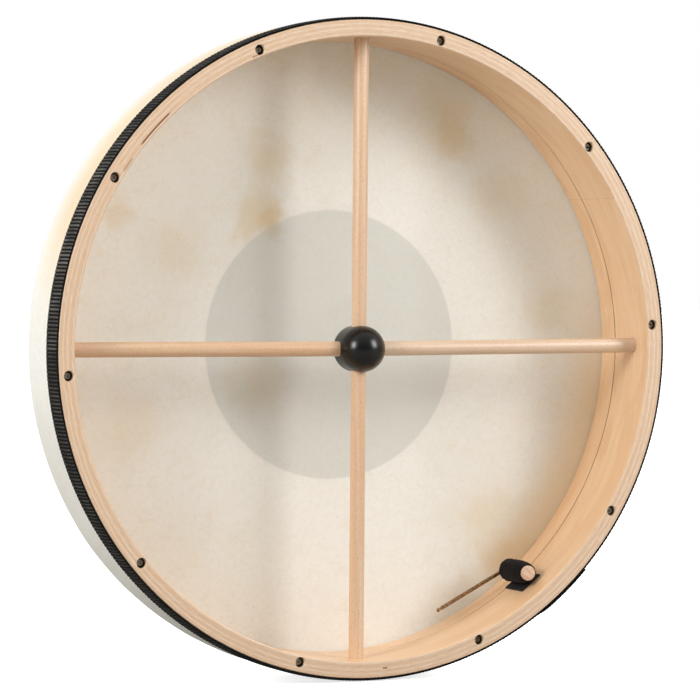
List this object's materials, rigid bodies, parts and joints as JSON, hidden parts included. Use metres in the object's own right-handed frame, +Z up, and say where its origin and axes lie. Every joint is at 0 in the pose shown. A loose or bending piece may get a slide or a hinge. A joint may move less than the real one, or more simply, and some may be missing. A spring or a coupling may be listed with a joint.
{
  "type": "bodhran",
  "caption": "Tunable frame drum: plywood hoop, goatskin head, wooden grip cross with a black hub, recessed tuning screws and a stuck-on hexagon key.",
  "frame": {"origin": "the point where the cross bars meet inside the hub, on the drum's axis, 22 mm in from the plane of the open rim", "axes": "+Y along the drum's axis from the open back to the skin, +Z up along the vertical bar, +X right as seen from the open back"},
  "size_m": [0.4545, 0.0733, 0.4545],
  "materials": {
    "plywood": "clear satin lacquer on beech plywood",
    "goatskin": "dry translucent goat rawhide, mottled",
    "patch_skin": "dry rawhide patch",
    "webbing": "black ribbed cotton webbing",
    "beech_bar": "clear satin lacquer on beech",
    "black_lacquer": "black satin gloss",
    "screw_steel": "dark oiled steel",
    "insert_steel": "zinc-plated steel",
    "hook_pad": "black hook tape",
    "handle_beech": "bare end grain",
    "felt": "black fuzzy loop felt",
    "key_steel": "bright nickel-plated steel"
  },
  "bodies": {
    "hoop": {"outer_shell": "plywood", "screw_ring": "plywood", "drumhead_skirt": "goatskin", "edge_webbing": "webbing", "vertical_bar": "beech_bar", "left_bar": "beech_bar", "right_bar": "beech_bar", "grip_hub": "black_lacquer", "key_pad": "hook_pad", "threaded_insert_01": "insert_steel", "threaded_insert_02": "insert_steel", "threaded_insert_03": "insert_steel", "threaded_insert_04": "insert_steel", "threaded_insert_05": "insert_steel", "threaded_insert_06": "insert_steel", "threaded_insert_07": "insert_steel", "threaded_insert_08": "insert_steel", "threaded_insert_09": "insert_steel", "threaded_insert_10": "insert_steel"},
    "tuning_ring": {"tuning_ring": "plywood", "drumhead": "goatskin", "centre_patch": "patch_skin"},
    "tuning_key": {"key_handle_core": "handle_beech", "key_handle_felt": "felt", "hex_key": "key_steel"},
    "screw_01": {"tuning_screw_01": "screw_steel"},
    "screw_02": {"tuning_screw_02": "screw_steel"},
    "screw_03": {"tuning_screw_03": "screw_steel"},
    "screw_04": {"tuning_screw_04": "screw_steel"},
    "screw_05": {"tuning_screw_05": "screw_steel"},
    "screw_06": {"tuning_screw_06": "screw_steel"},
    "screw_07": {"tuning_screw_07": "screw_steel"},
    "screw_08": {"tuning_screw_08": "screw_steel"},
    "screw_09": {"tuning_screw_09": "screw_steel"},
    "screw_10": {"tuning_screw_10": "screw_steel"}
  },
  "joints": [
    {"name": "ring_slide", "type": "slide", "parent": "hoop", "child": "tuning_ring", "axis": [0, 1, 0], "range_m": [0, 0.004]},
    {"name": "screw_01_turn", "type": "hinge", "parent": "tuning_ring", "child": "screw_01", "pos_m": [0.21776, 0, 0.01675], "axis": [0, 1, 0], "range_deg": [0, 1800]},
    {"name": "screw_02_turn", "type": "hinge", "parent": "tuning_ring", "child": "screw_02", "pos_m": [0.16632, 0, 0.14155], "axis": [0, 1, 0], "range_deg": [0, 1800]},
    {"name": "screw_03_turn", "type": "hinge", "parent": "tuning_ring", "child": "screw_03", "pos_m": [0.05135, 0, 0.21228], "axis": [0, 1, 0], "range_deg": [0, 1800]},
    {"name": "screw_04_turn", "type": "hinge", "parent": "tuning_ring", "child": "screw_04", "pos_m": [-0.08323, 0, 0.20192], "axis": [0, 1, 0], "range_deg": [0, 1800]},
    {"name": "screw_05_turn", "type": "hinge", "parent": "tuning_ring", "child": "screw_05", "pos_m": [-0.18602, 0, 0.11444], "axis": [0, 1, 0], "range_deg": [0, 1800]},
    {"name": "screw_06_turn", "type": "hinge", "parent": "tuning_ring", "child": "screw_06", "pos_m": [-0.21776, 0, -0.01675], "axis": [0, 1, 0], "range_deg": [0, 1800]},
    {"name": "screw_07_turn", "type": "hinge", "parent": "tuning_ring", "child": "screw_07", "pos_m": [-0.16632, 0, -0.14155], "axis": [0, 1, 0], "range_deg": [0, 1800]},
    {"name": "screw_08_turn", "type": "hinge", "parent": "tuning_ring", "child": "screw_08", "pos_m": [-0.05135, 0, -0.21228], "axis": [0, 1, 0], "range_deg": [0, 1800]},
    {"name": "screw_09_turn", "type": "hinge", "parent": "tuning_ring", "child": "screw_09", "pos_m": [0.08323, 0, -0.20192], "axis": [0, 1, 0], "range_deg": [0, 1800]},
    {"name": "screw_10_turn", "type": "hinge", "parent": "tuning_ring", "child": "screw_10", "pos_m": [0.18602, 0, -0.11444], "axis": [0, 1, 0], "range_deg": [0, 1800]},
    {"name": "key_pull", "type": "slide", "parent": "hoop", "child": "tuning_key", "axis": [-0.6293, 0, 0.7771], "range_m": [0, 0.06]}
  ],
  "couplings": [
    {"joint": "screw_01_turn", "follows": "ring_slide", "rad_per_m": 7853.9},
    {"joint": "screw_02_turn", "follows": "ring_slide", "rad_per_m": 7853.9},
    {"joint": "screw_03_turn", "follows": "ring_slide", "rad_per_m": 7853.9},
    {"joint": "screw_04_turn", "follows": "ring_slide", "rad_per_m": 7853.9},
    {"joint": "screw_05_turn", "follows": "ring_slide", "rad_per_m": 7853.9},
    {"joint": "screw_06_turn", "follows": "ring_slide", "rad_per_m": 7853.9},
    {"joint": "screw_07_turn", "follows": "ring_slide", "rad_per_m": 7853.9},
    {"joint": "screw_08_turn", "follows": "ring_slide", "rad_per_m": 7853.9},
    {"joint": "screw_09_turn", "follows": "ring_slide", "rad_per_m": 7853.9},
    {"joint": "screw_10_turn", "follows": "ring_slide", "rad_per_m": 7853.9}
  ]
}
